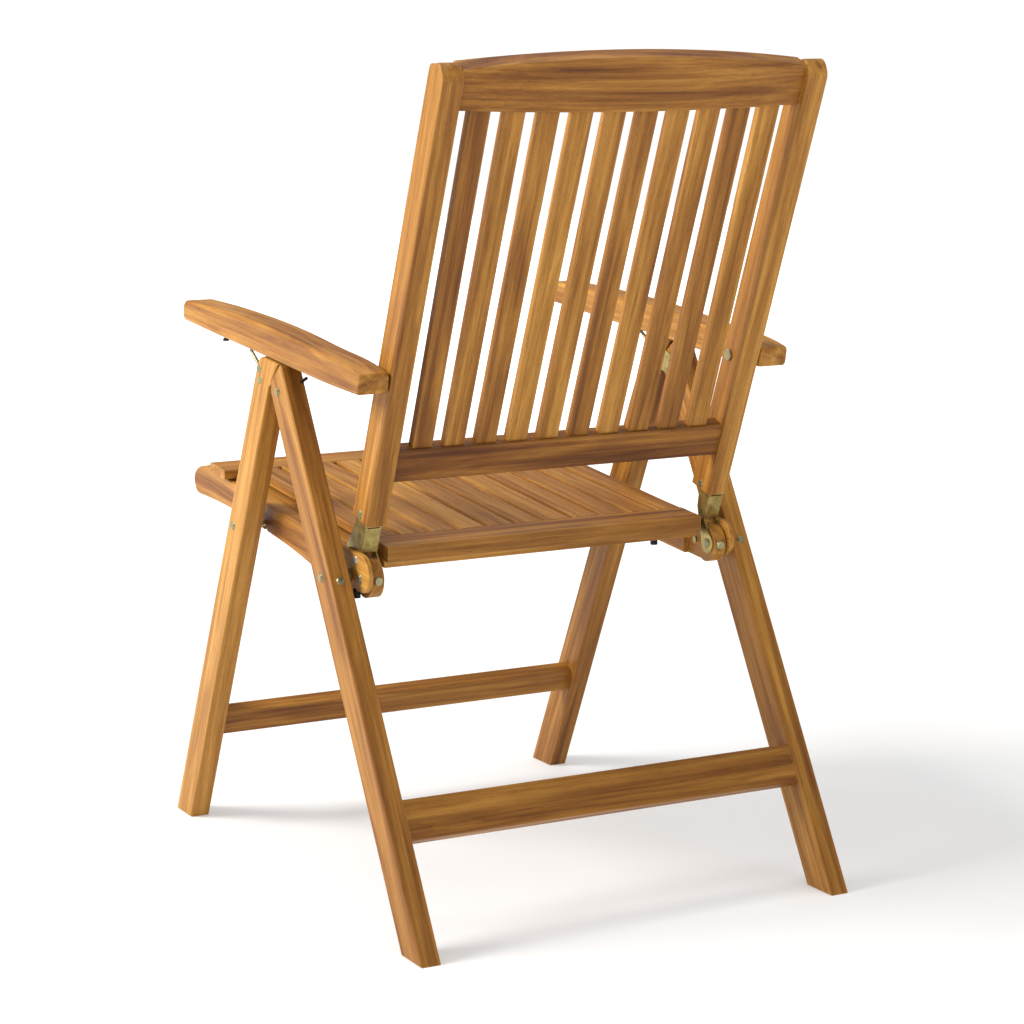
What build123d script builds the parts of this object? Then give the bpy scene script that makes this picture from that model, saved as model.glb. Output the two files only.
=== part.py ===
"""Folding wooden armchair with a reclining slatted back, in millimetres.

Front faces -Y, the sitter's left is +X, +Z is up. The origin is at the bottom centre.
"""

import math
import os

from build123d import *

os.makedirs("parts", exist_ok=True)

# ---------------------------------------------------------------- driving dimensions
# Layers across the chair, as distances from the middle plane
STILE_IN, STILE_OUT = 225.2, 252.3
RAIL_IN, RAIL_OUT = 225.5, 252.0
REBATE, INNER_REBATE = 248.5, 232.7
FLANGE_IN, FLANGE_OUT = 248.8, 250.6
INNER_FLANGE = 230.6
CHEEK_IN, CHEEK_OUT = 250.9, 256.9
LEG_IN, LEG_OUT = 268.0, 295.0
ARM_IN, ARM_OUT = 254.2, 294.0
SHEET = 1.8  # bracket and plate thickness
CENTRE_Y = 27.7  # puts the origin midway between the foremost and rearmost points

# Pivots in the side plane (y, z)
APEX = (-24.0, 627.0)  # rear leg to front leg
REST_PIN = (-185.0, 436.0)  # front leg pin in the seat notch
SEAT_PIVOT = (98.5, 413.0)  # seat to rear leg
BACK_PIVOT = (129.0, 413.0)  # seat to back bracket
ARM_PIVOT = (192.0, 662.0)  # back stile to armrest

LEG_DEPTH = 48.5
PIN_R, PIN_FIT = 4.0, 0.06
ARRIS = 2.2  # rounded edge on the timber

# Seat: local a runs rearwards along the seat, b is height above the slat tops
SEAT_Y, SEAT_Z, SEAT_TILT = 132.5, 449.3, 5.6
SEAT_FRONT_A, FRONT_RAIL_A, REAR_RAIL_A = -484.8, -432.5, -51.1
SEAT_RAIL_END = 220.3
SEAT_SLATS, SEAT_PITCH, SEAT_SLAT_W, SEAT_SLAT_T = 11, 40.5, 33.0, 12.0
FRONT_BOARD_END, FRONT_BOARD_T = 261.0, 12.5
LEDGE_IN = 208.0

# Back: local d is depth, 0 on the rear face, h is height along the stile
BACK_Y, BACK_Z, BACK_TILT = 139.9, 476.5, 23.4
BACK_H, STILE_FOOT_D, STILE_TOP_D = 589.0, 41.0, 39.0
LOW_RAIL_H = (57.6, 100.8)
TOP_RAIL_H, TOP_END_H, TOP_MID_H = 535.5, 585.5, 602.5
TOP_BOW = 12.0  # hollow of the top rail, at its middle
BACK_SLATS, BACK_PITCH, BACK_SLAT_W, BACK_SLAT_T = 10, 42.5, 27.0, 12.0
LOW_RAIL_D, TOP_RAIL_D = (-25.5, -4.5), (-34.5, -8.0)
LOW_SLAT_D, TOP_SLAT_D = -15.0, -24.0

# Stretchers: centre (y, z), depth and height of the section, and lean from vertical
FRONT_STRETCHER = (-324.5, 146.0, 20.0, 38.0)
REAR_STRETCHER = (265.4, 145.3, 22.0, 50.0)
FRONT_LEAN, REAR_LEAN = 27.6, -29.6
TENON = 14.0

SIDES = (("left", 1), ("right", -1))


def side_plane(x, y=0.0, z=0.0, lean=0.0):
    """Plane facing +X whose local Y leans rearwards from vertical by `lean` degrees."""
    c, s = math.cos(math.radians(lean)), math.sin(math.radians(lean))
    return Plane(origin=(x, y + CENTRE_Y, z), x_dir=(0, c, -s), z_dir=(1, 0, 0))


def seat_plane(x=0.0):
    return side_plane(x, SEAT_Y, SEAT_Z, SEAT_TILT)


def back_plane(x=0.0):
    return side_plane(x, BACK_Y, BACK_Z, BACK_TILT)


def outline_edges(part):
    """Edges that bound the two flat faces at the ends along X."""
    faces = part.faces().sort_by(Axis.X)
    return faces[0].edges() + faces[-1].edges()


# ---------------------------------------------------------------- legs and stretchers
front_leg_front = [(-376.3, 0.0), (-431.0, 0.0), (-89.3, 652.8), (-80.5, 663.5), (-72.5, 666.3)]
front_leg_head = [(-72.5, 666.3), (-20.5, 661.6), (-38.2, 644.3)]
front_leg_rear = [(-45.4, 633.4), (-52.3, 630.6), (-376.3, 0.0)]
rear_leg_shape = [(-38.0, 643.9), (-15.5, 661.0), (-10.5, 657.5), (362.5, 0.0), (308.6, 0.0), (-45.5, 622.4)]

for side, s in SIDES:
    with BuildPart() as front_leg:
        with BuildSketch(side_plane(s * LEG_IN)):
            with BuildLine():
                Polyline(*front_leg_front)
                Polyline(*front_leg_head)
                ThreePointArc(front_leg_head[-1], (-42.5, 639.5), front_leg_rear[0])
                Polyline(*front_leg_rear)
            make_face()
        extrude(amount=s * (LEG_OUT - LEG_IN))
        fillet(outline_edges(front_leg.part), ARRIS)
        with BuildSketch(side_plane(s * LEG_IN)):
            with Locations(REST_PIN, (-80.5, 650.0), (-80.0, 636.5)):
                Circle(PIN_R)
        extrude(amount=s * (LEG_OUT - LEG_IN), mode=Mode.SUBTRACT)
        with BuildSketch(side_plane(s * LEG_IN, FRONT_STRETCHER[0], FRONT_STRETCHER[1], FRONT_LEAN)):
            Rectangle(FRONT_STRETCHER[2] - 6, FRONT_STRETCHER[3] - 8)
        extrude(amount=s * TENON, mode=Mode.SUBTRACT)
    front_leg.part.label = f"front_leg_{side}"
    export_step(front_leg.part, f"parts/front_leg_{side}.step")

    with BuildPart() as rear_leg:
        with BuildSketch(side_plane(s * (LEG_IN + 0.3))):
            with BuildLine():
                Polyline(*rear_leg_shape)
                ThreePointArc(rear_leg_shape[-1], (-45.2, 632.6), rear_leg_shape[0])
            make_face()
        extrude(amount=s * (LEG_OUT - LEG_IN - 0.6))
        fillet(outline_edges(rear_leg.part), ARRIS)
        with BuildSketch(side_plane(s * LEG_IN)):
            with Locations(APEX):
                Circle(PIN_R + PIN_FIT)
            with Locations(SEAT_PIVOT):
                Circle(PIN_R)
        extrude(amount=s * (LEG_OUT - LEG_IN), mode=Mode.SUBTRACT)
        with BuildSketch(side_plane(s * LEG_IN, REAR_STRETCHER[0], REAR_STRETCHER[1], REAR_LEAN)):
            Rectangle(REAR_STRETCHER[2] - 6, REAR_STRETCHER[3] - 12)
        extrude(amount=s * (TENON + 0.3), mode=Mode.SUBTRACT)
    rear_leg.part.label = f"rear_leg_{side}"
    export_step(rear_leg.part, f"parts/rear_leg_{side}.step")

with BuildPart() as front_stretcher:
    with BuildSketch(side_plane(-LEG_IN, FRONT_STRETCHER[0], FRONT_STRETCHER[1], FRONT_LEAN)):
        RectangleRounded(FRONT_STRETCHER[2], FRONT_STRETCHER[3], ARRIS)
    extrude(amount=2 * LEG_IN)
    with BuildSketch(
        side_plane(-LEG_IN - TENON, FRONT_STRETCHER[0], FRONT_STRETCHER[1], FRONT_LEAN)
    ):
        Rectangle(FRONT_STRETCHER[2] - 6, FRONT_STRETCHER[3] - 8)
    extrude(amount=2 * (LEG_IN + TENON))
front_stretcher.part.label = "front_stretcher"
export_step(front_stretcher.part, "parts/front_stretcher.step")

with BuildPart() as rear_stretcher:
    with BuildSketch(side_plane(-LEG_IN - 0.3, REAR_STRETCHER[0], REAR_STRETCHER[1], REAR_LEAN)):
        RectangleRounded(REAR_STRETCHER[2], REAR_STRETCHER[3], ARRIS)
    extrude(amount=2 * (LEG_IN + 0.3))
    with BuildSketch(side_plane(-LEG_IN - TENON, REAR_STRETCHER[0], REAR_STRETCHER[1], REAR_LEAN)):
        Rectangle(REAR_STRETCHER[2] - 6, REAR_STRETCHER[3] - 12)
    extrude(amount=2 * (LEG_IN + TENON))
rear_stretcher.part.label = "rear_stretcher"
export_step(rear_stretcher.part, "parts/rear_stretcher.step")

# ---------------------------------------------------------------- seat side rails
# Direction in which the front leg pin leaves the notch when the chair folds
notch_dir = (0.385, -0.923)
tenon_front = (-466.0, -446.0, -20.0, -14.5)  # a0, a1, b0, b1 in the seat frame
tenon_rear = (-48.0, -31.5, -17.0, -8.0)
tenon_batten = (-47.0, -35.0, -28.0, -20.0)

for side, s in SIDES:
    with BuildPart() as side_rail:
        with BuildSketch(side_plane(s * RAIL_IN)):
            with BuildLine():
                Spline(
                    (-385.0, 485.0), (-411.0, 483.0), (-428.0, 476.5), (-437.4, 464.0),
                    (-433.5, 451.5), (-417.6, 443.6),
                    tangents=((-1.0, 0.09), (1.0, -0.1)),
                )
                Spline((-417.6, 443.6), (-298.6, 438.7), (-183.4, 426.9), (-68.2, 411.0), (-29.8, 403.5))
                Line((-29.8, 403.5), (112.0, 390.6))
                ThreePointArc((112.0, 390.6), (146.5, 413.0), (126.0, 435.5))
                Polyline((126.0, 435.5), (-60.0, 451.9), (-385.0, 485.0))
            make_face()
        extrude(amount=s * (RAIL_OUT - RAIL_IN))
        fillet(outline_edges(side_rail.part), ARRIS)
        # Ledge along the inner face, under the outer slat
        with BuildSketch(side_plane(s * LEDGE_IN)):
            with BuildLine():
                Polyline(
                    (-296.0, 475.2), (-60.0, 451.2), (78.0, 439.0), (78.0, 427.0), (-60.0, 438.0),
                    (-296.0, 462.0), close=True,
                )
            make_face()
        extrude(amount=s * (RAIL_IN + 4 - LEDGE_IN))
        # Seat for the front board, which runs over the top of the rail
        with BuildSketch(seat_plane(s * (RAIL_IN - 5))):
            with Locations(((SEAT_FRONT_A + FRONT_RAIL_A) / 2, 5.0)):
                Rectangle(FRONT_RAIL_A - SEAT_FRONT_A + 0.4, 35.0)
        extrude(amount=s * 40, mode=Mode.SUBTRACT)
        # Rebate on the outside in which the back bracket swings, and on the inside
        with BuildSketch(side_plane(s * (RAIL_IN - 1))):
            with Locations((130.0, 415.0)):
                Rectangle(100.0, 90.0)
        extrude(amount=s * (INNER_REBATE - RAIL_IN + 1), mode=Mode.SUBTRACT)
        with BuildSketch(side_plane(s * REBATE)):
            with Locations((120.0, 415.0)):
                Rectangle(96.0, 90.0)
        extrude(amount=s * 10, mode=Mode.SUBTRACT)
        with BuildSketch(side_plane(s * (RAIL_IN - 1))):
            with Locations(BACK_PIVOT):
                Circle(PIN_R)
        extrude(amount=s * 40, mode=Mode.SUBTRACT)
        with BuildSketch(side_plane(s * (RAIL_IN + 4))):
            with Locations(SEAT_PIVOT):
                Circle(PIN_R + PIN_FIT)
        extrude(amount=s * 40, mode=Mode.SUBTRACT)
        # Blind notch, open downwards, for the front leg pin
        with BuildSketch(side_plane(s * (RAIL_OUT - 14))):
            with Locations(REST_PIN):
                Circle(PIN_R + 0.5)
            with BuildLine():
                Polyline(
                    (REST_PIN[0] + 4.5 * notch_dir[1], REST_PIN[1] - 4.5 * notch_dir[0]),
                    (REST_PIN[0] - 4.5 * notch_dir[1], REST_PIN[1] + 4.5 * notch_dir[0]),
                    (REST_PIN[0] - 7.5 * notch_dir[1] + 20 * notch_dir[0],
                     REST_PIN[1] + 7.5 * notch_dir[0] + 20 * notch_dir[1]),
                    (REST_PIN[0] + 7.5 * notch_dir[1] + 20 * notch_dir[0],
                     REST_PIN[1] - 7.5 * notch_dir[0] + 20 * notch_dir[1]),
                    close=True,
                )
            make_face()
        extrude(amount=s * 20, mode=Mode.SUBTRACT)
        for a0, a1, b0, b1 in (tenon_front, tenon_rear, tenon_batten):
            with BuildSketch(seat_plane(s * (RAIL_IN - 2))):
                with Locations(((a0 + a1) / 2, (b0 + b1) / 2)):
                    Rectangle(a1 - a0, b1 - b0)
            extrude(amount=s * 14, mode=Mode.SUBTRACT)
    side_rail.part.label = f"side_rail_{side}"
    export_step(side_rail.part, f"parts/side_rail_{side}.step")

# ---------------------------------------------------------------- seat cross rails and slats
groove = 8.0

with BuildPart() as seat_front_rail:
    with BuildSketch(seat_plane(-RAIL_IN + 5)):
        with Locations(((SEAT_FRONT_A + FRONT_RAIL_A) / 2, -11.0)):
            RectangleRounded(FRONT_RAIL_A - SEAT_FRONT_A, 22.0, ARRIS)
    extrude(amount=2 * (RAIL_IN - 5))
    with BuildSketch(seat_plane(-FRONT_BOARD_END)):
        with Locations(((SEAT_FRONT_A + FRONT_RAIL_A) / 2, -FRONT_BOARD_T / 2)):
            RectangleRounded(FRONT_RAIL_A - SEAT_FRONT_A, FRONT_BOARD_T, ARRIS)
    extrude(amount=2 * FRONT_BOARD_END)
    a0, a1, b0, b1 = tenon_front
    with BuildSketch(seat_plane(-RAIL_IN - 12)):
        with Locations(((a0 + a1) / 2, (b0 + b1) / 2)):
            Rectangle(a1 - a0, b1 - b0)
    extrude(amount=2 * (RAIL_IN + 12))
    with BuildSketch(seat_plane(-SEAT_RAIL_END)):
        with Locations((FRONT_RAIL_A - groove / 2, -8.5)):
            Rectangle(groove, 6.0)
    extrude(amount=2 * SEAT_RAIL_END, mode=Mode.SUBTRACT)
seat_front_rail.part.label = "seat_front_rail"
export_step(seat_front_rail.part, "parts/seat_front_rail.step")

with BuildPart() as seat_rear_rail:
    with BuildSketch(seat_plane(-SEAT_RAIL_END)):
        with Locations((REAR_RAIL_A / 2, -10.0)):
            RectangleRounded(-REAR_RAIL_A, 20.0, ARRIS)
    extrude(amount=2 * SEAT_RAIL_END)
    a0, a1, b0, b1 = tenon_rear
    with BuildSketch(seat_plane(-RAIL_IN - 12)):
        with Locations(((a0 + a1) / 2, (b0 + b1) / 2)):
            Rectangle(a1 - a0, b1 - b0)
    extrude(amount=2 * (RAIL_IN + 12))
    with BuildSketch(seat_plane(-SEAT_RAIL_END + 3)):
        with Locations((REAR_RAIL_A + groove / 2, -8.5)):
            Rectangle(groove, 6.0)
    extrude(amount=2 * (SEAT_RAIL_END - 3), mode=Mode.SUBTRACT)
seat_rear_rail.part.label = "seat_rear_rail"
export_step(seat_rear_rail.part, "parts/seat_rear_rail.step")

with BuildPart() as seat_batten:
    with BuildSketch(seat_plane(-SEAT_RAIL_END)):
        with Locations((-29.0, -24.5)):
            Rectangle(38.0, 9.0)
    extrude(amount=2 * SEAT_RAIL_END)
    a0, a1, b0, b1 = tenon_batten
    with BuildSketch(seat_plane(-RAIL_IN - 12)):
        with Locations(((a0 + a1) / 2, (b0 + b1) / 2)):
            Rectangle(a1 - a0, b1 - b0)
    extrude(amount=2 * (RAIL_IN + 12))
seat_batten.part.label = "seat_batten"
export_step(seat_batten.part, "parts/seat_batten.step")

for i in range(SEAT_SLATS):
    x = (i - (SEAT_SLATS - 1) / 2) * SEAT_PITCH
    with BuildPart() as seat_slat:
        with BuildSketch(seat_plane(x - SEAT_SLAT_W / 2)):
            with Locations(((FRONT_RAIL_A + REAR_RAIL_A) / 2, -SEAT_SLAT_T / 2)):
                Rectangle(REAR_RAIL_A - FRONT_RAIL_A, SEAT_SLAT_T)
        extrude(amount=SEAT_SLAT_W)
        fillet(seat_slat.edges().filter_by(lambda e: e.length > 300), ARRIS)
        with BuildSketch(seat_plane(x - SEAT_SLAT_W / 2 + 3)):
            with Locations(((FRONT_RAIL_A + REAR_RAIL_A) / 2, -8.5)):
                Rectangle(REAR_RAIL_A - FRONT_RAIL_A + 2 * groove - 1, 6.0)
        extrude(amount=SEAT_SLAT_W - 6)
    seat_slat.part.label = f"seat_slat_{i + 1:02d}"
    export_step(seat_slat.part, f"parts/seat_slat_{i + 1:02d}.step")

# ---------------------------------------------------------------- back stiles, rails and slats
stile_shape = [
    (-STILE_TOP_D, 563.0), (-STILE_FOOT_D, -4.6), (0.0, 0.0), (0.0, 569.0),
]
low_mid = (LOW_RAIL_H[0] + LOW_RAIL_H[1]) / 2
low_mid_d = (LOW_RAIL_D[0] + LOW_RAIL_D[1]) / 2
top_mid_d = (TOP_RAIL_D[0] + TOP_RAIL_D[1]) / 2
stile_rivet = (-21.0, 6.0)

for side, s in SIDES:
    with BuildPart() as stile:
        with BuildSketch(back_plane(s * STILE_IN)):
            with BuildLine():
                Polyline(*stile_shape)
                Spline(
                    stile_shape[-1], (-5.5, 582.5), (-19.0, BACK_H), (-31.5, 582.0), stile_shape[0],
                    tangents=((0, 1), (0, -1)),
                )
            make_face()
        extrude(amount=s * (STILE_OUT - STILE_IN))
        fillet(outline_edges(stile.part), ARRIS)
        # Kerfs in the foot for the bracket's two flanges
        for kerf_x in (INNER_FLANGE, FLANGE_IN):
            with BuildSketch(back_plane(s * kerf_x)):
                with Locations((-31.2, 1.0)):
                    Rectangle(57.0, 44.0)
            extrude(amount=s * SHEET, mode=Mode.SUBTRACT)
        with BuildSketch(back_plane(s * (STILE_IN - 1))):
            with Locations(stile_rivet):
                Circle(2.5)
        extrude(amount=s * 40, mode=Mode.SUBTRACT)
        with BuildSketch(side_plane(s * (STILE_IN - 1))):
            with Locations(ARM_PIVOT):
                Circle(PIN_R)
        extrude(amount=s * 40, mode=Mode.SUBTRACT)
        with BuildSketch(back_plane(s * STILE_IN)):
            with Locations((low_mid_d, low_mid), (top_mid_d, TOP_RAIL_H + 24)):
                Rectangle(10.0, 28.0)
        extrude(amount=s * TENON, mode=Mode.SUBTRACT)
    stile.part.label = f"back_stile_{side}"
    export_step(stile.part, f"parts/back_stile_{side}.step")

# Rail faces seen from behind: local X across the chair, local Y up the back
c, t = math.cos(math.radians(BACK_TILT)), math.sin(math.radians(BACK_TILT))


def across_plane(d):
    """Plane parallel to the back's rear face at depth d, its normal pointing forward."""
    return Plane(
        origin=(0, BACK_Y + CENTRE_Y + d * c, BACK_Z - d * t), x_dir=(1, 0, 0), z_dir=(0, -c, t)
    )


def level_plane(h):
    """Plane square to the stiles at height h: local X across, local Y rearwards."""
    return Plane(
        origin=(0, BACK_Y + CENTRE_Y + h * t, BACK_Z + h * c), x_dir=(1, 0, 0), z_dir=(0, t, c)
    )


def slat_plane(x):
    """Plane square to the slat at x, where it enters the low rail, and the slat's length."""
    h0, h1 = LOW_RAIL_H[1] - slat_socket, TOP_RAIL_H + slat_socket
    d0, d1 = LOW_SLAT_D, TOP_SLAT_D + TOP_BOW * (1 - (x / STILE_IN) ** 2)
    dy, dz = (d1 - d0) * c + (h1 - h0) * t, (h1 - h0) * c - (d1 - d0) * t
    origin = (x, BACK_Y + CENTRE_Y + d0 * c + h0 * t, BACK_Z - d0 * t + h0 * c)
    return Plane(origin=origin, x_dir=(1, 0, 0), z_dir=(0, dy, dz)), math.hypot(dy, dz)


slat_socket = 8.0
slat_x = [(i - (BACK_SLATS - 1) / 2) * BACK_PITCH for i in range(BACK_SLATS)]

with BuildPart() as back_low_rail:
    with BuildSketch(across_plane(LOW_RAIL_D[1])):
        with Locations((0, low_mid)):
            Rectangle(2 * STILE_IN, LOW_RAIL_H[1] - LOW_RAIL_H[0])
    extrude(amount=LOW_RAIL_D[1] - LOW_RAIL_D[0])
    fillet(back_low_rail.edges().filter_by(Axis.X), ARRIS)
    with BuildSketch(back_plane(-STILE_IN - TENON)):
        with Locations((low_mid_d, low_mid)):
            Rectangle(10.0, 28.0)
    extrude(amount=2 * (STILE_IN + TENON))
    for x in slat_x:
        plane, length = slat_plane(x)
        with BuildSketch(plane):
            Rectangle(BACK_SLAT_W, BACK_SLAT_T)
        extrude(amount=40, mode=Mode.SUBTRACT)
back_low_rail.part.label = "back_low_rail"
export_step(back_low_rail.part, "parts/back_low_rail.step")

with BuildPart() as back_top_rail:
    # Hollow section seen along the stiles, then cut to the arched elevation
    with BuildSketch(level_plane(TOP_RAIL_H)):
        with BuildLine():
            d0, d1 = TOP_RAIL_D
            Line((-STILE_IN, d1), (-STILE_IN, d0))
            ThreePointArc((-STILE_IN, d0), (0, d0 + TOP_BOW), (STILE_IN, d0))
            Line((STILE_IN, d0), (STILE_IN, d1))
            ThreePointArc((STILE_IN, d1), (0, d1 + TOP_BOW), (-STILE_IN, d1))
        make_face()
    extrude(amount=TOP_MID_H - TOP_RAIL_H + 10)
    with BuildSketch(across_plane(TOP_RAIL_D[1] + TOP_BOW + 5)):
        with BuildLine():
            Polyline(
                (-STILE_IN, TOP_END_H), (-STILE_IN, TOP_RAIL_H),
                (STILE_IN, TOP_RAIL_H), (STILE_IN, TOP_END_H),
            )
            ThreePointArc((STILE_IN, TOP_END_H), (0, TOP_MID_H), (-STILE_IN, TOP_END_H))
        make_face()
    extrude(amount=60, mode=Mode.INTERSECT)
    fillet(back_top_rail.edges().filter_by(lambda e: e.length > 300), ARRIS)
    with BuildSketch(back_plane(-STILE_IN - TENON)):
        with Locations((top_mid_d, TOP_RAIL_H + 24)):
            Rectangle(10.0, 28.0)
    extrude(amount=TENON + 4)
    with BuildSketch(back_plane(STILE_IN - 4)):
        with Locations((top_mid_d, TOP_RAIL_H + 24)):
            Rectangle(10.0, 28.0)
    extrude(amount=TENON + 4)
    for x in slat_x:
        plane, length = slat_plane(x)
        with BuildSketch(plane):
            Rectangle(BACK_SLAT_W, BACK_SLAT_T)
        extrude(amount=length, mode=Mode.SUBTRACT)
back_top_rail.part.label = "back_top_rail"
export_step(back_top_rail.part, "parts/back_top_rail.step")

for i, x in enumerate(slat_x):
    plane, length = slat_plane(x)
    with BuildPart() as back_slat:
        with BuildSketch(plane):
            Rectangle(BACK_SLAT_W, BACK_SLAT_T)
        extrude(amount=length)
        chamfer(back_slat.edges().filter_by(lambda e: e.length > 300), 1.2)
    back_slat.part.label = f"back_slat_{i + 1:02d}"
    export_step(back_slat.part, f"parts/back_slat_{i + 1:02d}.step")

# ---------------------------------------------------------------- armrests
arm_under = [(-348.8, 691.8), (-254.7, 683.0), (-28.0, 663.8), (94.5, 653.2), (216.0, 645.9)]
arm_top = [
    (221.5, 670.0), (182.0, 678.8), (102.0, 687.8), (9.0, 698.5), (-89.0, 707.3),
    (-243.0, 715.8), (-349.0, 718.3),
]

for side, s in SIDES:
    with BuildPart() as armrest:
        with BuildSketch(side_plane(s * ARM_IN)):
            with BuildLine():
                Spline(*arm_under)
                Line(arm_under[-1], arm_top[0])
                Spline(*arm_top)
                Line(arm_top[-1], arm_under[0])
            make_face()
        extrude(amount=s * (ARM_OUT - ARM_IN))
        corners = armrest.edges().filter_by(Axis.X).sort_by(Axis.Y)
        nose_low, nose_high = corners[:2].sort_by(Axis.Z)
        fillet(corners[2:], 6.0)
        fillet(nose_high, 13.0)
        fillet(nose_low, 6.0)
        fillet(outline_edges(armrest.part), 4.0)
        # Bore for the arm bolt's shank
        with BuildSketch(side_plane(s * (ARM_IN - 1))):
            with Locations(ARM_PIVOT):
                Circle(PIN_R + PIN_FIT)
        extrude(amount=s * 21, mode=Mode.SUBTRACT)
    armrest.part.label = f"armrest_{side}"
    export_step(armrest.part, f"parts/armrest_{side}.step")

# ---------------------------------------------------------------- hinge brackets on the stile feet
ear = (
    (BACK_PIVOT[0] - BACK_Y) * c - (BACK_PIVOT[1] - BACK_Z) * t,
    (BACK_PIVOT[0] - BACK_Y) * t + (BACK_PIVOT[1] - BACK_Z) * c,
)
outer_flange = [
    (-34.0, 21.0), (-3.0, 21.0), (-3.0, -38.0), (26.0, -53.0),
    (7.0, -76.0), (-3.0, -66.0), (-45.5, -51.1), (-32.5, -13.0),
]
inner_flange = [
    (-33.0, 21.0), (-3.0, 21.0), (-3.0, -38.0), (24.0, -54.5), (3.0, -66.0), (-24.0, -30.0),
]

for side, s in SIDES:
    with BuildPart() as bracket:
        with BuildSketch(back_plane(s * FLANGE_IN)):
            with BuildLine():
                Polyline(*outer_flange, close=True)
            make_face()
            with Locations(ear):
                Circle(15.0)
        extrude(amount=s * SHEET)
        with BuildSketch(back_plane(s * INNER_FLANGE)):
            with BuildLine():
                Polyline(*inner_flange, close=True)
            make_face()
            with Locations(ear):
                Circle(13.0)
        extrude(amount=s * SHEET)
        # Web joining the two flanges below the stile foot
        with BuildSketch(back_plane(s * INNER_FLANGE)):
            with Locations((-3.0 - SHEET / 2, -20.5)):
                Rectangle(SHEET, 33.0)
        extrude(amount=s * (FLANGE_OUT - INNER_FLANGE))
        with BuildSketch(back_plane(s * (INNER_FLANGE - 1))):
            with Locations(ear):
                Circle(PIN_R + PIN_FIT)
            with Locations(stile_rivet):
                Circle(2.5)
        extrude(amount=s * 40, mode=Mode.SUBTRACT)
    bracket.part.label = f"back_bracket_{side}"
    export_step(bracket.part, f"parts/back_bracket_{side}.step")

    with BuildPart() as cheek:
        with BuildSketch(side_plane(s * CHEEK_IN)):
            with BuildLine():
                Polyline((78.0, 441.0), (82.0, 444.5), (127.0, 442.5))
                ThreePointArc((127.0, 442.5), (149.0, 433.0), (154.0, 415.0))
                ThreePointArc((154.0, 415.0), (146.0, 401.0), (131.0, 396.5))
                Polyline((131.0, 396.5), (112.0, 397.0), (78.0, 402.0), (78.0, 441.0))
            make_face()
        extrude(amount=s * (CHEEK_OUT - CHEEK_IN))
        fillet(cheek.faces().sort_by(Axis.X)[-1 if s > 0 else 0].edges(), 1.2)
        # Packing that carries the cheek on the rail, forward of the bracket
        with BuildSketch(side_plane(s * REBATE)):
            with Locations((85.0, 414.0)):
                Rectangle(12.0, 24.0)
        extrude(amount=s * (CHEEK_IN - REBATE))
        with BuildSketch(side_plane(s * (CHEEK_IN - 1))):
            with Locations(BACK_PIVOT):
                Circle(PIN_R)
            with Locations(SEAT_PIVOT):
                Circle(PIN_R + 0.5)
        extrude(amount=s * 10, mode=Mode.SUBTRACT)
    cheek.part.label = f"cheek_plate_{side}"
    export_step(cheek.part, f"parts/cheek_plate_{side}.step")

    with BuildPart() as apex_plate:
        with BuildSketch(side_plane(s * (LEG_IN - SHEET))):
            with BuildLine():
                Polyline(
                    (-88.0, 657.0), (-76.0, 661.0), (-16.0, 639.0),
                    (-13.0, 618.0), (-30.0, 615.0), (-90.0, 629.0), close=True,
                )
            make_face()
            with Locations((-80.5, 650.0), (-80.0, 636.5), APEX):
                Circle(PIN_R, mode=Mode.SUBTRACT)
        extrude(amount=s * SHEET)
    apex_plate.part.label = f"apex_plate_{side}"
    export_step(apex_plate.part, f"parts/apex_plate_{side}.step")

# ---------------------------------------------------------------- fasteners
HEAD_R, HEAD_H = 6.0, 2.5


def shank(at, x0, x1, r):
    """Cylinder along X on both sides of the chair."""
    for _, k in SIDES:
        with BuildSketch(side_plane(k * x0)) as section:
            with Locations(at):
                Circle(r)
        extrude(section.sketch, amount=k * (x1 - x0))


def domed_head(at, x0, h, r):
    """Domed head standing out by h from the face at x0, on both sides."""
    for _, k in SIDES:
        with BuildSketch(side_plane(k * x0)) as section:
            with Locations(at):
                Circle(r)
        extrude(section.sketch, amount=k * h, taper=32)


with BuildPart() as rest_pins:
    shank(REST_PIN, RAIL_OUT - 13, LEG_OUT, PIN_R)
    domed_head(REST_PIN, LEG_OUT, HEAD_H, HEAD_R)
rest_pins.part.label = "rest_pins"
export_step(rest_pins.part, "parts/rest_pins.step")

with BuildPart() as apex_rivets:
    for at in ((-80.5, 650.0), (-80.0, 636.5)):
        shank(at, LEG_IN - SHEET, LEG_OUT, PIN_R)
        domed_head(at, LEG_OUT, 2.0, 5.5)
        domed_head(at, LEG_IN - SHEET, -2.0, 5.5)
apex_rivets.part.label = "apex_rivets"
export_step(apex_rivets.part, "parts/apex_rivets.step")

with BuildPart() as apex_pivots:
    shank(APEX, LEG_IN - SHEET, LEG_OUT, PIN_R)
    domed_head(APEX, LEG_OUT, 2.0, HEAD_R)
    domed_head(APEX, LEG_IN - SHEET, -2.0, HEAD_R)
apex_pivots.part.label = "apex_pivots"
export_step(apex_pivots.part, "parts/apex_pivots.step")

with BuildPart() as seat_bolts:
    shank(SEAT_PIVOT, RAIL_IN + 5, LEG_OUT - 0.3, PIN_R)
    shank(SEAT_PIVOT, CHEEK_OUT + 0.6, LEG_IN + 0.3, 8.0)
    domed_head(SEAT_PIVOT, LEG_OUT - 0.3, HEAD_H, HEAD_R)
seat_bolts.part.label = "seat_bolts"
export_step(seat_bolts.part, "parts/seat_bolts.step")

with BuildPart() as back_pivots:
    shank(BACK_PIVOT, INNER_FLANGE - 0.3, CHEEK_OUT, PIN_R)
    domed_head(BACK_PIVOT, CHEEK_OUT, HEAD_H, HEAD_R)
    domed_head(BACK_PIVOT, INNER_FLANGE - 0.3, -2.0, HEAD_R)
back_pivots.part.label = "back_pivots"
export_step(back_pivots.part, "parts/back_pivots.step")

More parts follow.
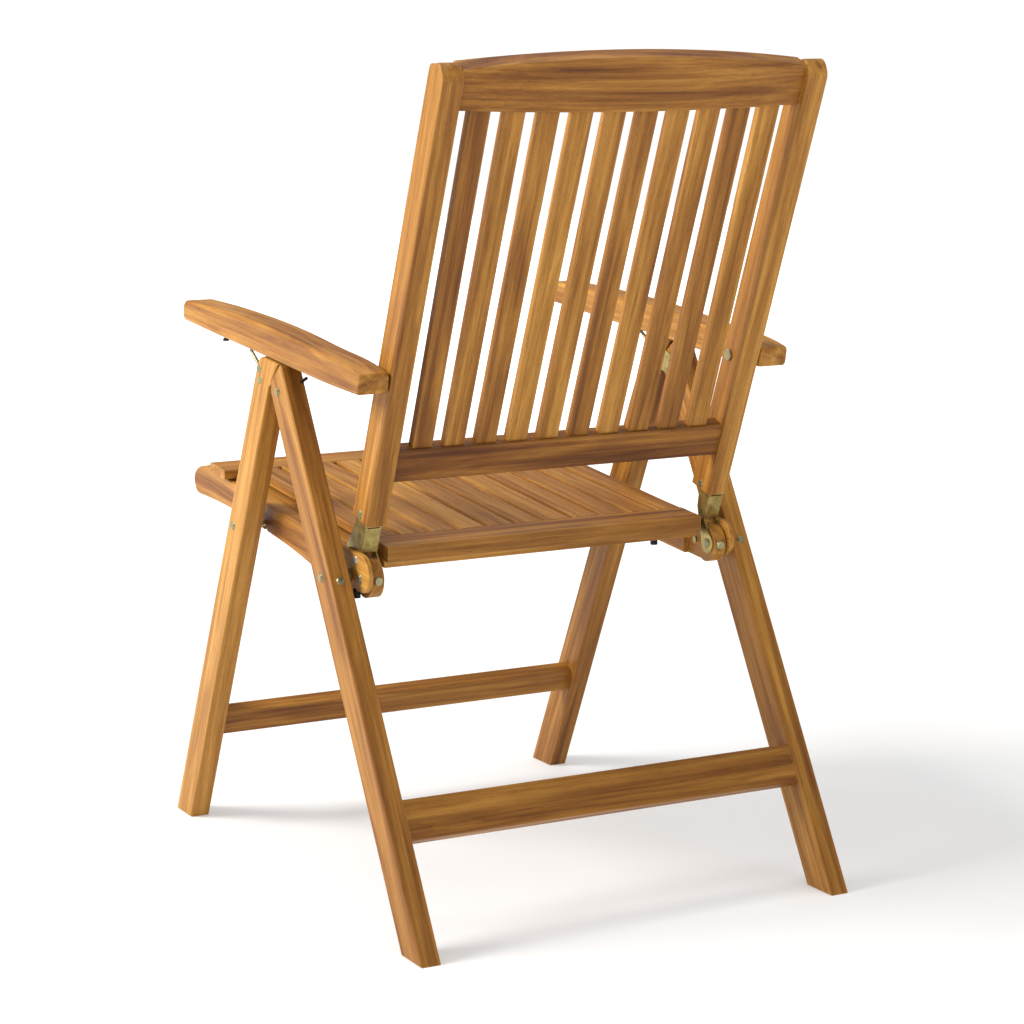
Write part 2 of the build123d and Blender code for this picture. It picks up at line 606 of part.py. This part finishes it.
rivet_y = BACK_Y + stile_rivet[0] * c + stile_rivet[1] * t
rivet_z = BACK_Z - stile_rivet[0] * t + stile_rivet[1] * c
with BuildPart() as stile_rivets:
    shank((rivet_y, rivet_z), STILE_IN, STILE_OUT, 2.5)
    domed_head((rivet_y, rivet_z), STILE_OUT, 1.6, 5.5)
    domed_head((rivet_y, rivet_z), STILE_IN, -1.6, 5.0)
stile_rivets.part.label = "stile_rivets"
export_step(stile_rivets.part, "parts/stile_rivets.step")

with BuildPart() as cheek_screws:
    domed_head((117.5, 434.5), CHEEK_OUT, 1.8, 5.5)
    for _, k in SIDES:
        with BuildSketch(side_plane(k * (CHEEK_OUT + 1.0), 117.5, 434.5, 40)):
            Rectangle(12.0, 1.2)
        extrude(amount=k * 2, mode=Mode.SUBTRACT)
cheek_screws.part.label = "cheek_screws"
export_step(cheek_screws.part, "parts/cheek_screws.step")

with BuildPart() as rail_end_rivets:
    for _, k in SIDES:
        at = Plane(origin=(k * 240.6, 145.0 + CENTRE_Y, 411.5), x_dir=(1, 0, 0), z_dir=(0, 1, 0))
        with BuildSketch(at):
            Circle(6.5)
        extrude(amount=4.0, taper=24)
rail_end_rivets.part.label = "rail_end_rivets"
export_step(rail_end_rivets.part, "parts/rail_end_rivets.step")

with BuildPart() as rear_leg_screws:
    for _, k in SIDES:
        screw_y = 362.5 - 413 * 373 / 657.5 + CENTRE_Y
        at = Plane(origin=(k * 282, screw_y, 413), x_dir=(1, 0, 0), z_dir=(0, 657.5, 373))
        with BuildSketch(at):
            Circle(5.4)
        extrude(amount=2.2, taper=32)
rear_leg_screws.part.label = "rear_leg_screws"
export_step(rear_leg_screws.part, "parts/rear_leg_screws.step")

with BuildPart() as rail_nuts:
    for _, k in SIDES:
        for x, y, z0, z1 in ((254.0, 112.0, 387.0, 398.6), (229.0, -2.0, 391.5, 403.0)):
            with BuildSketch(Plane(origin=(k * x, y + CENTRE_Y, z0))):
                Circle(4.8)
            extrude(amount=z1 - z0)
rail_nuts.part.label = "rail_nuts"
export_step(rail_nuts.part, "parts/rail_nuts.step")


def rod(x, start, end, r):
    """Round rod in the side plane from start to end, both (y, z), on both sides."""
    dy, dz = end[0] - start[0], end[1] - start[1]
    for _, k in SIDES:
        at = Plane(origin=(k * x, start[0] + CENTRE_Y, start[1]), x_dir=(1, 0, 0), z_dir=(0, dy, dz))
        with BuildSketch(at) as section:
            Circle(r)
        extrude(section.sketch, amount=math.hypot(dy, dz))


with BuildPart() as catch_wires:
    rod(283.0, (-86.0, 637.0), (-137.0, 668.5), 2.2)
catch_wires.part.label = "catch_wires"
export_step(catch_wires.part, "parts/catch_wires.step")

with BuildPart() as leg_hooks:
    rod(272.0, (-4.0, 639.0), (15.0, 646.0), 2.0)
leg_hooks.part.label = "leg_hooks"
export_step(leg_hooks.part, "parts/leg_hooks.step")

# Bolts fast in the stiles, with a washer and a plain shank on which the armrests turn
with BuildPart() as arm_bolts:
    shank(ARM_PIVOT, STILE_IN - 2.7, ARM_IN + 19.3, PIN_R)
    shank(ARM_PIVOT, STILE_IN - 2.7, STILE_IN, 7.0)
    shank(ARM_PIVOT, STILE_OUT, ARM_IN - 0.3, 9.0)
arm_bolts.part.label = "arm_bolts"
export_step(arm_bolts.part, "parts/arm_bolts.step")

for side, s in SIDES:
    with BuildPart() as arm_screw:
        for r, z0, z1 in ((4.0, 673.5, 676.5), (2.4, 676.5, 690.0)):
            with BuildSketch(Plane(origin=(s * 285.0, -217.0 + CENTRE_Y, z0))):
                Circle(r)
            extrude(amount=z1 - z0)
    arm_screw.part.label = f"arm_screw_{side}"
    export_step(arm_screw.part, f"parts/arm_screw_{side}.step")
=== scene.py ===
"""Folding wooden armchair: materials, light and camera around the fixed CAD frame."""

import math

import bpy
from mathutils import Matrix, Vector


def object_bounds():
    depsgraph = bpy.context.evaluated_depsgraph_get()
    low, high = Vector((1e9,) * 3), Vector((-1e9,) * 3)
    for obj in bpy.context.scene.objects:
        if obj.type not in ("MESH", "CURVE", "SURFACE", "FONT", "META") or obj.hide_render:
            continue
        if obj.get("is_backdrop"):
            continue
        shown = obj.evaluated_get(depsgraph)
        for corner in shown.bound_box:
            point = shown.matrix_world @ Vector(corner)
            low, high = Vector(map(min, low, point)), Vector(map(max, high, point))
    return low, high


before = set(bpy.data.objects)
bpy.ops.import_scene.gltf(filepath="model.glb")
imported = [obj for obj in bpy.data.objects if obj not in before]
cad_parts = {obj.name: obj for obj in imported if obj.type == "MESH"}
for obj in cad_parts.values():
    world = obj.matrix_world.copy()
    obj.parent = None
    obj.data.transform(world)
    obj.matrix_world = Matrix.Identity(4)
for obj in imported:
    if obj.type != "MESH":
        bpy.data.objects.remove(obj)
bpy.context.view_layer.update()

# ------------------------------------------------------------------ node helpers


def new_material(name):
    mat = bpy.data.materials.new(name)
    mat.use_nodes = True
    tree = mat.node_tree
    tree.nodes.clear()
    out = tree.nodes.new("ShaderNodeOutputMaterial")
    shader = tree.nodes.new("ShaderNodeBsdfPrincipled")
    tree.links.new(shader.outputs["BSDF"], out.inputs["Surface"])
    return mat, tree, shader


def math_node(tree, op, a, b=None, clamp=False):
    node = tree.nodes.new("ShaderNodeMath")
    node.operation = op
    node.use_clamp = clamp
    for socket, value in zip(node.inputs, (a, b)):
        if value is None:
            continue
        if isinstance(value, (int, float)):
            socket.default_value = value
        else:
            tree.links.new(value, socket)
    return node.outputs[0]


def vector_scale(tree, vec, factors, offset=(0.0, 0.0, 0.0)):
    node = tree.nodes.new("ShaderNodeMapping")
    node.vector_type = "POINT"
    node.inputs["Scale"].default_value = factors
    node.inputs["Location"].default_value = offset
    tree.links.new(vec, node.inputs["Vector"])
    return node.outputs["Vector"]


def noise(tree, vec, scale=1.0, detail=2.0, rough=0.5, distort=0.0):
    node = tree.nodes.new("ShaderNodeTexNoise")
    node.inputs["Scale"].default_value = scale
    node.inputs["Detail"].default_value = detail
    node.inputs["Roughness"].default_value = rough
    node.inputs["Distortion"].default_value = distort
    tree.links.new(vec, node.inputs["Vector"])
    return node.outputs["Fac"]


def ramp(tree, fac, stops):
    node = tree.nodes.new("ShaderNodeValToRGB")
    node.color_ramp.interpolation = "LINEAR"
    elements = node.color_ramp.elements
    while len(elements) < len(stops):
        elements.new(0.5)
    for element, (place, colour) in zip(elements, stops):
        element.position = place
        element.color = (*colour, 1.0)
    tree.links.new(fac, node.inputs["Fac"])
    return node.outputs["Color"]


def grey(value):
    return (value, value, value)


def mix_colour(tree, blend, fac, a, b):
    node = tree.nodes.new("ShaderNodeMix")
    node.data_type = "RGBA"
    node.blend_type = blend
    node.clamp_result = True
    for socket, value in ((node.inputs[0], fac), (node.inputs[6], a), (node.inputs[7], b)):
        if isinstance(value, (int, float)):
            socket.default_value = value
        elif isinstance(value, tuple):
            socket.default_value = (*value, 1.0)
        else:
            tree.links.new(value, socket)
    return node.outputs[2]


def edge_mask(tree, radius):
    """1 on rounded arrises, 0 on flat faces."""
    bevel = tree.nodes.new("ShaderNodeBevel")
    bevel.samples = 4
    bevel.inputs["Radius"].default_value = radius
    geo = tree.nodes.new("ShaderNodeNewGeometry")
    dot = tree.nodes.new("ShaderNodeVectorMath")
    dot.operation = "DOT_PRODUCT"
    tree.links.new(bevel.outputs["Normal"], dot.inputs[0])
    tree.links.new(geo.outputs["Normal"], dot.inputs[1])
    drop = math_node(tree, "SUBTRACT", 1.0, dot.outputs["Value"])
    return math_node(tree, "MULTIPLY", drop, 6.0, clamp=True)


# ------------------------------------------------------------------ wood


BROAD_WEIGHT, RING_WEIGHT, STREAK_WEIGHT, BASE_TONE = 0.56, 0.05, 0.36, 0.045


def wood(name, grain, seed, tone):
    """Oiled hardwood whose fibres run along `grain`, cut from its own place in the log."""
    mat, tree, shader = new_material(name)
    g = Vector(grain).normalized()
    side = Vector((1, 0, 0)) if abs(g.x) < 0.5 else Vector((0, 1, 0))
    v_axis = (side - g * side.dot(g)).normalized()
    w_axis = g.cross(v_axis)
    place = tree.nodes.new("ShaderNodeTexCoord").outputs["Object"]
    parts = []
    for axis in (g, v_axis, w_axis):
        dot = tree.nodes.new("ShaderNodeVectorMath")
        dot.operation = "DOT_PRODUCT"
        tree.links.new(place, dot.inputs[0])
        dot.inputs[1].default_value = axis
        parts.append(dot.outputs["Value"])
    joined = tree.nodes.new("ShaderNodeCombineXYZ")
    for socket, value in zip(joined.inputs, parts):
        tree.links.new(value, socket)
    along = joined.outputs[0]
    # Each board's own offset in the log, so that no two boards share a figure
    du = (seed * 0.731) % 3.0
    dv = 0.05 + 0.09 * ((seed * 0.618) % 1.0)
    dw = 0.04 + 0.11 * ((seed * 0.377) % 1.0)

    rings = tree.nodes.new("ShaderNodeTexWave")
    rings.wave_type = "RINGS"
    rings.rings_direction = "X"
    rings.wave_profile = "SAW"
    rings.inputs["Scale"].default_value = 34.0
    rings.inputs["Distortion"].default_value = 5.0
    rings.inputs["Detail"].default_value = 2.5
    rings.inputs["Detail Scale"].default_value = 0.9
    rings.inputs["Detail Roughness"].default_value = 0.55
    tree.links.new(vector_scale(tree, along, (0.075, 1, 1), (du, dv, dw)), rings.inputs["Vector"])
    ring = rings.outputs["Fac"]

    broad = noise(tree, vector_scale(tree, along, (2.6, 34, 34), (du, dv, dw)), 1.0, 3.0, 0.6, 0.9)
    streak = noise(tree, vector_scale(tree, along, (3.0, 130, 130), (du, 0, dw)), 1.0, 3.0, 0.6)
    fibre = noise(tree, vector_scale(tree, along, (14, 900, 900), (du, dv, 0)), 1.0, 2.0, 0.6)
    pore = noise(tree, vector_scale(tree, along, (60, 2600, 2600), (du, dv, dw)), 1.0, 1.0, 0.5)

    # Weighted sum: broad heartwood bands, growth rings and streaks
    mixed = math_node(tree, "MULTIPLY", broad, BROAD_WEIGHT)
    mixed = math_node(tree, "ADD", mixed, math_node(tree, "MULTIPLY", ring, RING_WEIGHT))
    mixed = math_node(tree, "ADD", mixed, math_node(tree, "MULTIPLY", streak, STREAK_WEIGHT))
    mixed = math_node(tree, "ADD", mixed, tone + BASE_TONE)
    colour = ramp(tree, mixed, [
        (0.30, (0.095, 0.028, 0.004)),
        (0.42, (0.205, 0.072, 0.010)),
        (0.53, (0.330, 0.138, 0.020)),
        (0.66, (0.480, 0.228, 0.040)),
        (0.82, (0.640, 0.350, 0.085)),
    ])
    fibre_shade = ramp(tree, fibre, [(0.30, grey(0.80)), (0.62, grey(1.06))])
    colour = mix_colour(tree, "MULTIPLY", 1.0, colour, fibre_shade)
    pore_mask = ramp(tree, pore, [(0.63, grey(0.0)), (0.72, grey(1.0))])
    colour = mix_colour(tree, "MULTIPLY", pore_mask, colour, (0.62, 0.48, 0.38))
    # Painted highlight: the rounded arrises are mixed towards a pale tan, broken up by the streak
    # noise, to stand in for light caught on the edges.
    arris_highlight_mask = edge_mask(tree, 0.0022)
    painted_arris_highlight = math_node(tree, "MULTIPLY", arris_highlight_mask, math_node(tree, "MULTIPLY", streak, 0.55))
    colour = mix_colour(tree, "MIX", painted_arris_highlight, colour, (0.80, 0.50, 0.16))
    tree.links.new(colour, shader.inputs["Base Color"])

    rough = math_node(tree, "MULTIPLY", fibre, 0.22)
    rough = math_node(tree, "ADD", rough, math_node(tree, "MULTIPLY", broad, -0.12))
    tree.links.new(math_node(tree, "ADD", rough, 0.42), shader.inputs["Roughness"])
    shader.inputs["Specular IOR Level"].default_value = 0.24

    height = math_node(tree, "MULTIPLY", fibre, 0.5)
    height = math_node(tree, "ADD", height, math_node(tree, "MULTIPLY", streak, 0.8))
    height = math_node(tree, "SUBTRACT", height, math_node(tree, "MULTIPLY", pore_mask, 0.5))
    bump = tree.nodes.new("ShaderNodeBump")
    bump.inputs["Strength"].default_value = 0.35
    bump.inputs["Distance"].default_value = 0.0006
    tree.links.new(height, bump.inputs["Height"])
    tree.links.new(bump.outputs["Normal"], shader.inputs["Normal"])
    return mat


# ------------------------------------------------------------------ metal


def metal(name, light, dark, rough, metallic):
    mat, tree, shader = new_material(name)
    place = tree.nodes.new("ShaderNodeTexCoord").outputs["Object"]
    cloud = noise(tree, place, 90.0, 4.0, 0.6)
    grain = noise(tree, place, 900.0, 2.0, 0.5)
    colour = ramp(tree, cloud, [(0.30, dark), (0.62, light)])
    # Painted highlight: the rounded edges are mixed towards a paler copy of the light colour.
    arris_highlight_mask = edge_mask(tree, 0.0008)
    edge_highlight_colour = tuple(min(1.0, c * 1.35) for c in light)
    colour = mix_colour(tree, "MIX", math_node(tree, "MULTIPLY", arris_highlight_mask, 0.6), colour, edge_highlight_colour)
    tree.links.new(colour, shader.inputs["Base Color"])
    spread = math_node(tree, "MULTIPLY", cloud, 0.25)
    spread = math_node(tree, "ADD", spread, math_node(tree, "MULTIPLY", grain, 0.12))
    tree.links.new(math_node(tree, "ADD", spread, rough), shader.inputs["Roughness"])
    shader.inputs["Metallic"].default_value = metallic
    bump = tree.nodes.new("ShaderNodeBump")
    bump.inputs["Strength"].default_value = 0.2
    bump.inputs["Distance"].default_value = 0.0002
    tree.links.new(grain, bump.inputs["Height"])
    tree.links.new(bump.outputs["Normal"], shader.inputs["Normal"])
    return mat


brass = metal("brass", (0.46, 0.36, 0.12), (0.20, 0.15, 0.05), 0.20, 0.9)
rivet = metal("rivet_brass", (0.40, 0.36, 0.20), (0.15, 0.13, 0.06), 0.24, 0.85)
steel = metal("plated_steel", (0.55, 0.54, 0.50), (0.28, 0.27, 0.24), 0.22, 0.9)
black = metal("black_steel", (0.020, 0.020, 0.022), (0.010, 0.010, 0.010), 0.35, 0.6)

# ------------------------------------------------------------------ grain direction of each board

FRONT_LEG = (0.0, 0.4637, 0.8860)
REAR_LEG = (0.0, -0.4918, 0.8707)
SEAT = (0.0, 0.9952, -0.0976)
BACK = (0.0, 0.3795, 0.9252)
ARM = (0.0, 0.9966, -0.0820)
ACROSS = (1.0, 0.0, 0.0)

GRAIN = [
    ("front_leg", FRONT_LEG), ("rear_leg_left", REAR_LEG), ("rear_leg_right", REAR_LEG),
    ("side_rail", SEAT), ("seat_slat", SEAT), ("seat_front", ACROSS), ("seat_rear", ACROSS),
    ("seat_batten", ACROSS), ("front_stretcher", ACROSS),
    ("rear_stretcher", ACROSS), ("back_top", ACROSS), ("back_low", ACROSS),
    ("back_stile", BACK), ("back_slat", BACK), ("armrest", ARM), ("cheek_plate", SEAT),
]
TONE = {
    "front_stretcher": -0.05, "rear_stretcher": -0.03, "cheek_plate_left": 0.10,
    "cheek_plate_right": 0.10, "back_low_rail": -0.05, "back_top_rail": -0.02,
    "front_leg_left": 0.03, "rear_leg_left": 0.04, "armrest_left": 0.02,
}
BRIGHT = {"back_bracket_left", "back_bracket_right", "apex_plate_left", "apex_plate_right"}
BLACK = {"rail_nuts", "leg_hooks", "arm_screw_left", "arm_screw_right"}

for number, name in enumerate(sorted(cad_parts)):
    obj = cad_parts[name]
    direction = next((d for prefix, d in GRAIN if name.startswith(prefix)), None)
    if name in BLACK:
        mat = black
    elif name in BRIGHT:
        mat = brass
    elif name == "cheek_screws":
        mat = steel
    elif direction is None:
        mat = rivet
    else:
        shift = ((number * 37) % 11 - 5) * 0.011 + TONE.get(name, 0.0)
        mat = wood("wood_" + name, direction, number * 2.71 + 1.3, shift)
    for slot in obj.material_slots:
        slot.material = mat

# ------------------------------------------------------------------ floor, light and camera

low, high = (Vector(corner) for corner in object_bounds())
centre = (low + high) / 2

FLOOR_REACH = 14.0
GLOW_NEAR, GLOW_START, GLOW_PER_METRE = 0.30, 0.7, 0.22

floor_mesh = bpy.data.meshes.new("floor")
floor_mesh.from_pydata(
    [(x * FLOOR_REACH, y * FLOOR_REACH, 0) for x, y in ((-1, -1), (1, -1), (1, 1), (-1, 1))],
    [], [(0, 1, 2, 3)],
)
floor = bpy.data.objects.new("floor", floor_mesh)
bpy.context.scene.collection.objects.link(floor)
floor_mat, floor_tree, floor_shader = new_material("floor_white")
cloud = noise(
    floor_tree, floor_tree.nodes.new("ShaderNodeTexCoord").outputs["Object"], 3.0, 2.0, 0.5
)
floor_tree.links.new(
    ramp(floor_tree, cloud, [(0.3, grey(0.60)), (0.7, grey(0.63))]),
    floor_shader.inputs["Base Color"],
)
floor_shader.inputs["Roughness"].default_value = 0.6
floor_shader.inputs["Specular IOR Level"].default_value = 0.2
# Painted light: the floor glows by emission, weakly near the chair and more strongly away from it,
# so the far floor reads white while the shadows near the chair stay visible.
spread = floor_tree.nodes.new("ShaderNodeVectorMath")
spread.operation = "LENGTH"
floor_tree.links.new(floor_tree.nodes["Texture Coordinate"].outputs["Object"], spread.inputs[0])
painted_floor_glow = math_node(floor_tree, "SUBTRACT", spread.outputs["Value"], GLOW_START)
painted_floor_glow = math_node(floor_tree, "MULTIPLY", painted_floor_glow, GLOW_PER_METRE, clamp=True)
floor_tree.links.new(
    math_node(floor_tree, "ADD", painted_floor_glow, GLOW_NEAR), floor_shader.inputs["Emission Strength"]
)
floor_shader.inputs["Emission Color"].default_value = (1.0, 1.0, 1.0, 1.0)
floor_mesh.materials.append(floor_mat)
floor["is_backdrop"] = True

AZIMUTH, PITCH, ROLL = math.radians(152.71), math.radians(9.27), math.radians(-0.67)
EYE = Vector((1.5738, 3.1103, 1.0196))
SENSOR_MM, LENS_MM = 36.0, 95.938
back = Vector((
    math.sin(AZIMUTH) * math.cos(PITCH), -math.cos(AZIMUTH) * math.cos(PITCH), math.sin(PITCH)
))
right = (-back).cross(Vector((0, 0, 1))).normalized()
up = right.cross(-back)
image_x = right * math.cos(ROLL) + up * math.sin(ROLL)
image_y = up * math.cos(ROLL) - right * math.sin(ROLL)
camera_data = bpy.data.cameras.new("camera")
camera_data.sensor_width = SENSOR_MM
camera_data.lens = LENS_MM
camera = bpy.data.objects.new("camera", camera_data)
turn = Matrix((image_x, image_y, back)).transposed()
camera.matrix_world = Matrix.Translation(EYE) @ turn.to_4x4()
bpy.context.scene.collection.objects.link(camera)
bpy.context.scene.camera = camera


def area_light(name, place, target, size, power, colour=(1.0, 1.0, 1.0)):
    data = bpy.data.lights.new(name, "AREA")
    data.shape = "RECTANGLE"
    data.size, data.size_y = size
    data.energy = power
    data.color = colour
    obj = bpy.data.objects.new(name, data)
    obj.location = place
    obj.rotation_euler = (target - place).to_track_quat("-Z", "Y").to_euler()
    bpy.context.scene.collection.objects.link(obj)


toward = Vector((back.x, back.y, 0)).normalized()
left = -right
area_light(
    "key", centre + left * 2.9 + toward * 0.5 + Vector((0, 0, 1.9)), centre, (1.5, 1.5), 160,
    (1.0, 0.975, 0.94),
)
area_light("top", centre + Vector((0, 0, 3.2)), centre, (3.0, 3.0), 48)
area_light(
    "fill", centre + right * 1.6 + toward * 3.0 + Vector((0, 0, 1.0)), centre, (2.5, 2.0), 14
)

# The backdrop looks brighter to the camera than it is as a light
WORLD_LIGHT, WORLD_SEEN = 0.46, 1.05
world = bpy.data.worlds.new("studio")
bpy.context.scene.world = world
world.use_nodes = True
world_tree = world.node_tree
dim = world_tree.nodes["Background"]
dim.inputs["Color"].default_value = (1.0, 1.0, 1.0, 1.0)
dim.inputs["Strength"].default_value = WORLD_LIGHT
seen = world_tree.nodes.new("ShaderNodeBackground")
seen.inputs["Color"].default_value = (1.0, 1.0, 1.0, 1.0)
seen.inputs["Strength"].default_value = WORLD_SEEN
choose = world_tree.nodes.new("ShaderNodeMixShader")
path = world_tree.nodes.new("ShaderNodeLightPath")
world_tree.links.new(path.outputs["Is Camera Ray"], choose.inputs[0])
world_tree.links.new(dim.outputs[0], choose.inputs[1])
world_tree.links.new(seen.outputs[0], choose.inputs[2])
world_tree.links.new(choose.outputs[0], world_tree.nodes["World Output"].inputs["Surface"])
bpy.context.scene.view_settings.view_transform = "Standard"
